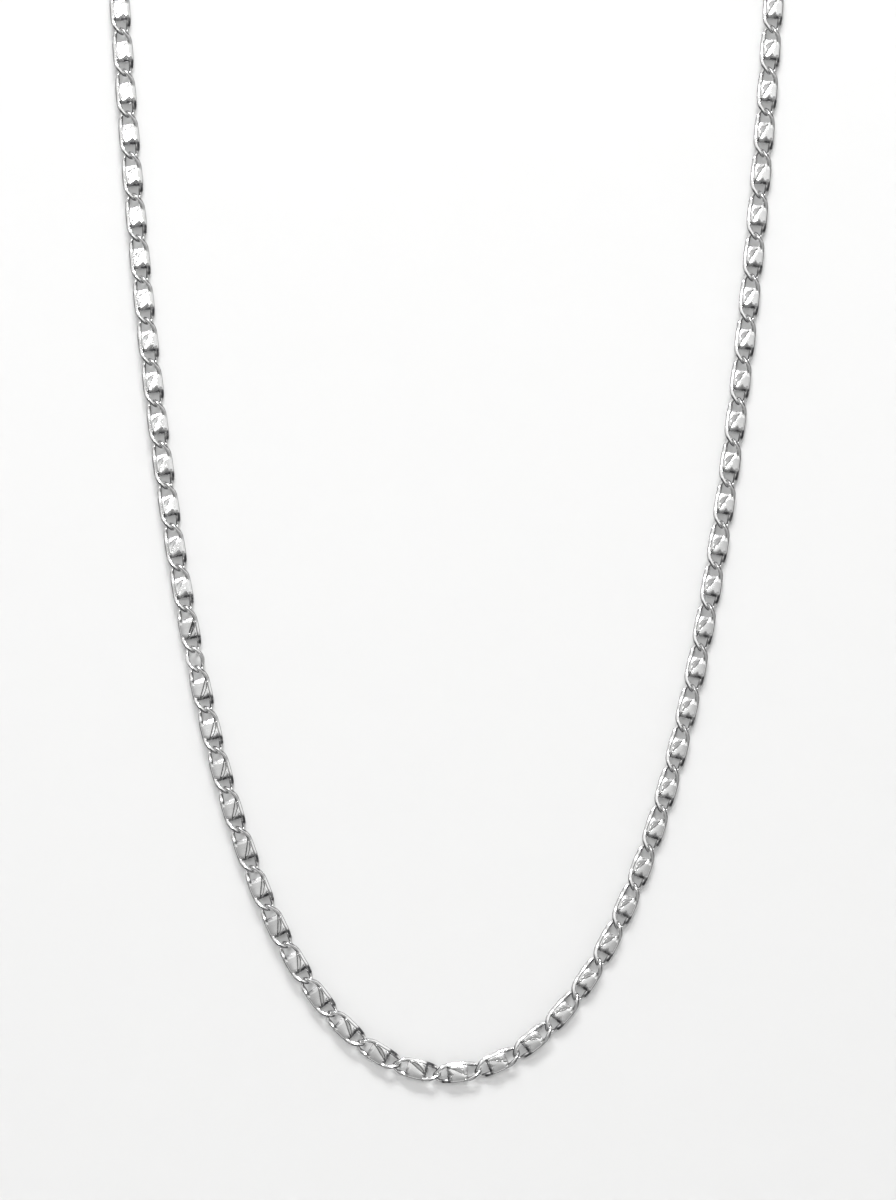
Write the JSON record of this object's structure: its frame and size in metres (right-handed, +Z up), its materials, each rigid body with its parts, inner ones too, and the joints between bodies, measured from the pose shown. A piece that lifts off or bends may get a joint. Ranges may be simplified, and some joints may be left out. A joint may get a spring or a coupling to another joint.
{
  "type": "monaco chain necklace",
  "caption": "Closed neck chain of flat curb links with a domed scroll plate in each, a short plain link and a plain barrel clasp, hanging as a long loop with a round top.",
  "frame": {"origin": "where the necklace hangs: the underside of its clasp, at the loop's highest point, on the loop's middle plane", "axes": "+Z up, along the hanging loop; +X to the viewer's right across the loop; -Y out of the loop's plane towards the viewer"},
  "size_m": [0.0978, 0.0036, 0.2103],
  "materials": {
    "chain_silver": "polished silver with diamond-cut facets",
    "clasp_silver": "polished silver"
  },
  "bodies": {
    "root": {"left_run_1": "chain_silver", "left_run_2": "chain_silver", "left_run_3": "chain_silver", "left_run_4": "chain_silver", "short_link": "chain_silver", "left_run_5": "chain_silver", "bottom_run": "chain_silver", "right_run_1": "chain_silver", "right_run_2": "chain_silver", "right_run_3": "chain_silver", "right_run_4": "chain_silver", "right_run_5": "chain_silver", "clasp": "clasp_silver"}
  },
  "joints": []
}
